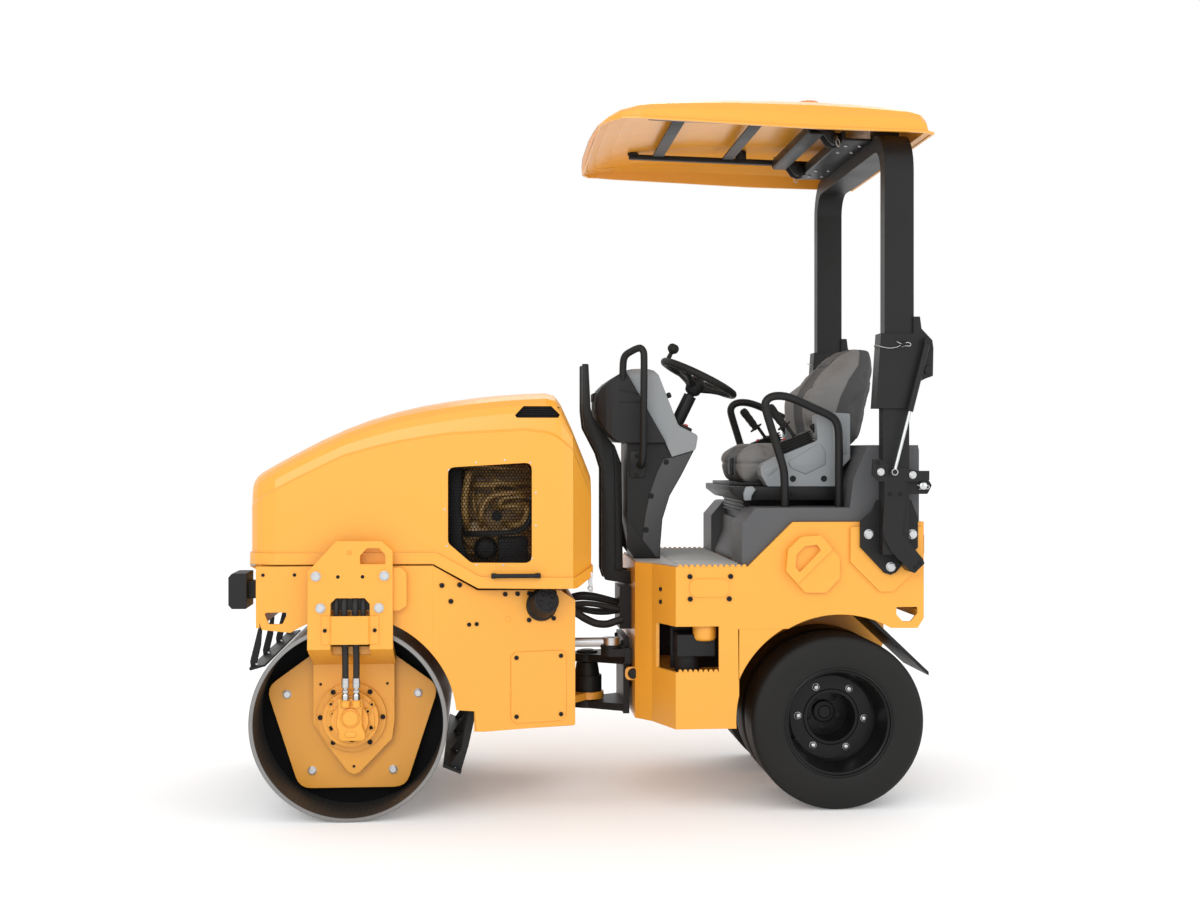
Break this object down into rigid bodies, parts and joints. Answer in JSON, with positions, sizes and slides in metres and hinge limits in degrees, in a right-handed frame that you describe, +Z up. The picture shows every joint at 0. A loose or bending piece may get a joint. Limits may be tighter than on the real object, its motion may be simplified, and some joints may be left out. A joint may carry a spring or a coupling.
{
  "type": "road roller",
  "caption": "Articulated ride-on road roller with a smooth steel front drum, slick rear tyres, hinged engine hood, open operator's platform and a folding roll-over hoop with sun canopy.",
  "frame": {"origin": "on the ground below the middle of the whole machine", "axes": "+X forward to the drum, +Y to the machine's left, +Z up"},
  "size_m": [2.55, 1.3, 2.7209],
  "materials": {
    "yellow": "satin machine enamel over steel",
    "black": "satin black powder coat",
    "grey": "dark grey textured moulding",
    "light_grey": "mid grey textured moulding",
    "steel": "worn rolled steel",
    "zinc": "bright zinc plate",
    "floor": "ribbed grey floor plate",
    "tyre": "smooth tread rubber",
    "rubber": "black moulded rubber",
    "engine": "painted cast iron",
    "seat": "dark grey woven seat cover",
    "amber": "amber lens",
    "red": "red lens"
  },
  "bodies": {
    "rear": {"rear_frame": "yellow", "floor_plate": "floor", "wheel_fenders": "grey", "tank_cap": "yellow", "rear_cover": "yellow", "axle_carrier": "black", "tyre_scrapers": "black", "tail_lamps": "red", "filter_unit": "black", "valve_box": "black", "rops_posts": "black", "seat_base": "black", "seat_cushion": "seat", "seat_back": "seat", "seat_consoles": "light_grey", "control_levers": "rubber", "seat_hoops": "black", "console_column": "grey", "console_head": "black", "console_cover": "light_grey", "console_guard": "black", "hand_rails": "black", "steering_column": "black"},
    "hitch": {"hitch_yoke": "black"},
    "front": {"front_frame": "yellow", "hood_hinge_pins": "zinc", "pivot_barrel": "black", "drum_forks": "yellow", "fork_covers": "yellow", "drum_motors": "yellow", "drum_scrapers": "black", "engine": "engine", "radiator": "black", "head_lamps": "grey", "fuel_cap": "grey", "service_covers": "yellow"},
    "drum": {"drum_shell": "steel", "drum_plates": "yellow", "drum_buffers": "rubber"},
    "hood": {"hood": "yellow", "hood_grilles": "black", "hood_handles": "black"},
    "steer_barrel": {"steer_barrel": "black"},
    "steer_rod": {"steer_rod": "zinc"},
    "left_wheels": {"tyres_left": "tyre", "rims_left": "black"},
    "right_wheels": {"tyres_right": "tyre", "rims_right": "black"},
    "rops": {"rops_hoop": "black", "canopy": "yellow", "canopy_frame": "black", "beacon": "amber"},
    "strut_barrels": {"strut_barrels": "black"},
    "strut_rods": {"strut_rods": "zinc"},
    "steering_wheel": {"steering_wheel": "rubber"}
  },
  "joints": [
    {"name": "oscillate", "type": "hinge", "parent": "rear", "child": "hitch", "pos_m": [-0.204, 0, 0.426], "axis": [-1, 0, 0], "range_deg": [-8, 8]},
    {"name": "steer", "type": "hinge", "parent": "hitch", "child": "front", "pos_m": [-0.038, 0, 0.426], "axis": [0, 0, 1], "range_deg": [-30, 30]},
    {"name": "drum_roll", "type": "hinge", "parent": "front", "child": "drum", "pos_m": [0.85, 0, 0.35], "axis": [0, 1, 0], "continuous": true},
    {"name": "hood_lift", "type": "hinge", "parent": "front", "child": "hood", "pos_m": [1.228, 0, 0.9], "axis": [0, 1, 0], "range_deg": [0, 60]},
    {"name": "left_wheels_roll", "type": "hinge", "parent": "rear", "child": "left_wheels", "pos_m": [-0.926, 0.4, 0.321], "axis": [0, 1, 0], "continuous": true},
    {"name": "right_wheels_roll", "type": "hinge", "parent": "rear", "child": "right_wheels", "pos_m": [-0.926, -0.4, 0.321], "axis": [0, 1, 0], "continuous": true},
    {"name": "rops_fold", "type": "hinge", "parent": "rear", "child": "rops", "pos_m": [-1.239, 0, 1.612], "axis": [0, -1, 0], "range_deg": [0, 170]},
    {"name": "strut_swing", "type": "hinge", "parent": "rops", "child": "strut_barrels", "pos_m": [-1.232, 0, 1.713], "axis": [0, -1, 0], "range_deg": [-156, 1]},
    {"name": "strut_stroke", "type": "slide", "parent": "strut_barrels", "child": "strut_rods", "axis": [0.2503, 0, -0.9682], "range_m": [-0.18, 0.005]},
    {"name": "steer_swing", "type": "hinge", "parent": "front", "child": "steer_barrel", "pos_m": [0.36, 0.17, 0.579], "axis": [0, 0, 1], "range_deg": [-6, 6]},
    {"name": "steer_stroke", "type": "slide", "parent": "steer_barrel", "child": "steer_rod", "axis": [-1, 0, 0], "range_m": [-0.1, 0.1]},
    {"name": "steering_wheel_turn", "type": "hinge", "parent": "rear", "child": "steering_wheel", "pos_m": [-0.393, 0, 1.42], "axis": [-0.4405, 0, 0.8977], "continuous": true}
  ],
  "couplings": [
    {"joint": "strut_swing", "follows": "rops_fold", "ratio": -0.91253},
    {"joint": "strut_stroke", "follows": "rops_fold", "m_per_rad": -0.05885},
    {"joint": "steer_swing", "follows": "steer", "ratio": -0.151},
    {"joint": "steer_stroke", "follows": "steer", "m_per_rad": -0.1653}
  ]
}
